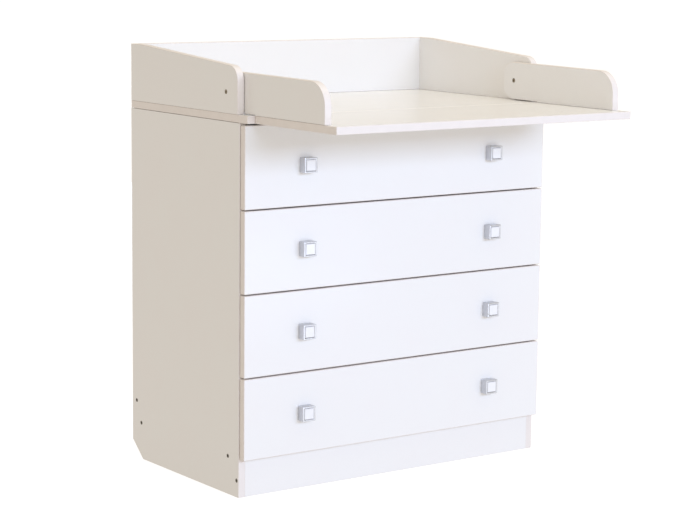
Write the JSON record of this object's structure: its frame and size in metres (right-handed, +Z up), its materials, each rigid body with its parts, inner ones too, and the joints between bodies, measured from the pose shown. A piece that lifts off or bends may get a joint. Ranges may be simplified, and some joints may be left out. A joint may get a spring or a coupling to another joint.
{
  "type": "changing table",
  "caption": "Chest of drawers whose top is a guarded changing board with a front part that folds up and back about two side pivots.",
  "frame": {"origin": "centre of the base of the bounding box, with the front of the changing top folded out and the drawers shut", "axes": "+Z up; -Y is the side that the drawers open towards; +X is to the right of someone who faces the drawers"},
  "size_m": [0.8, 0.756, 0.924],
  "materials": {
    "laminate": "satin white laminated board",
    "hardboard": "matt white hardboard",
    "zinc_steel": "zinc plated",
    "screw_steel": "zinc plated",
    "pivot_steel": "satin black",
    "dowel_wood": "plain beech",
    "knob_metal": "satin chrome",
    "knob_insert": "gloss white"
  },
  "bodies": {
    "cabinet": {"side_panel_left": "laminate", "side_panel_right": "laminate", "bottom_panel": "laminate", "plinth": "laminate", "rear_lower_rail": "laminate", "top_rail_front": "laminate", "top_rail_rear": "laminate", "back_panel": "hardboard", "carcass_screws": "screw_steel", "top_board": "laminate", "guard_left": "laminate", "guard_right": "laminate", "guard_back": "laminate", "guard_dowels": "dowel_wood", "cabinet_runners": "zinc_steel", "pivot_bolts": "pivot_steel"},
    "fold_out_top": {"flap_board": "laminate", "flap_guard_left": "laminate", "flap_guard_right": "laminate", "flap_screws": "screw_steel"},
    "drawer_1": {"drawer_1_front": "laminate", "drawer_1_side_left": "laminate", "drawer_1_side_right": "laminate", "drawer_1_back": "laminate", "drawer_1_bottom": "hardboard", "drawer_1_runners": "zinc_steel", "drawer_1_knobs": "knob_metal", "drawer_1_knob_inserts": "knob_insert", "drawer_1_knob_screws": "screw_steel"},
    "drawer_1_middle": {"drawer_1_middle_runners": "zinc_steel"},
    "drawer_2": {"drawer_2_front": "laminate", "drawer_2_side_left": "laminate", "drawer_2_side_right": "laminate", "drawer_2_back": "laminate", "drawer_2_bottom": "hardboard", "drawer_2_runners": "zinc_steel", "drawer_2_knobs": "knob_metal", "drawer_2_knob_inserts": "knob_insert", "drawer_2_knob_screws": "screw_steel"},
    "drawer_2_middle": {"drawer_2_middle_runners": "zinc_steel"},
    "drawer_3": {"drawer_3_front": "laminate", "drawer_3_side_left": "laminate", "drawer_3_side_right": "laminate", "drawer_3_back": "laminate", "drawer_3_bottom": "hardboard", "drawer_3_runners": "zinc_steel", "drawer_3_knobs": "knob_metal", "drawer_3_knob_inserts": "knob_insert", "drawer_3_knob_screws": "screw_steel"},
    "drawer_3_middle": {"drawer_3_middle_runners": "zinc_steel"},
    "drawer_4": {"drawer_4_front": "laminate", "drawer_4_side_left": "laminate", "drawer_4_side_right": "laminate", "drawer_4_back": "laminate", "drawer_4_bottom": "hardboard", "drawer_4_runners": "zinc_steel", "drawer_4_knobs": "knob_metal", "drawer_4_knob_inserts": "knob_insert", "drawer_4_knob_screws": "screw_steel"},
    "drawer_4_middle": {"drawer_4_middle_runners": "zinc_steel"}
  },
  "joints": [
    {"name": "fold_out_top_hinge", "type": "hinge", "parent": "cabinet", "child": "fold_out_top", "pos_m": [0, -0.01, 0.844], "axis": [-1, 0, 0], "range_deg": [0, 180]},
    {"name": "drawer_1_slide", "type": "slide", "parent": "cabinet", "child": "drawer_1", "axis": [0, -1, 0], "range_m": [0, 0.35]},
    {"name": "drawer_1_middle_slide", "type": "slide", "parent": "cabinet", "child": "drawer_1_middle", "axis": [0, -1, 0], "range_m": [0, 0.175]},
    {"name": "drawer_2_slide", "type": "slide", "parent": "cabinet", "child": "drawer_2", "axis": [0, -1, 0], "range_m": [0, 0.35]},
    {"name": "drawer_2_middle_slide", "type": "slide", "parent": "cabinet", "child": "drawer_2_middle", "axis": [0, -1, 0], "range_m": [0, 0.175]},
    {"name": "drawer_3_slide", "type": "slide", "parent": "cabinet", "child": "drawer_3", "axis": [0, -1, 0], "range_m": [0, 0.35]},
    {"name": "drawer_3_middle_slide", "type": "slide", "parent": "cabinet", "child": "drawer_3_middle", "axis": [0, -1, 0], "range_m": [0, 0.175]},
    {"name": "drawer_4_slide", "type": "slide", "parent": "cabinet", "child": "drawer_4", "axis": [0, -1, 0], "range_m": [0, 0.35]},
    {"name": "drawer_4_middle_slide", "type": "slide", "parent": "cabinet", "child": "drawer_4_middle", "axis": [0, -1, 0], "range_m": [0, 0.175]}
  ],
  "couplings": [
    {"joint": "drawer_1_middle_slide", "follows": "drawer_1_slide", "ratio": 0.5},
    {"joint": "drawer_2_middle_slide", "follows": "drawer_2_slide", "ratio": 0.5},
    {"joint": "drawer_3_middle_slide", "follows": "drawer_3_slide", "ratio": 0.5},
    {"joint": "drawer_4_middle_slide", "follows": "drawer_4_slide", "ratio": 0.5}
  ]
}
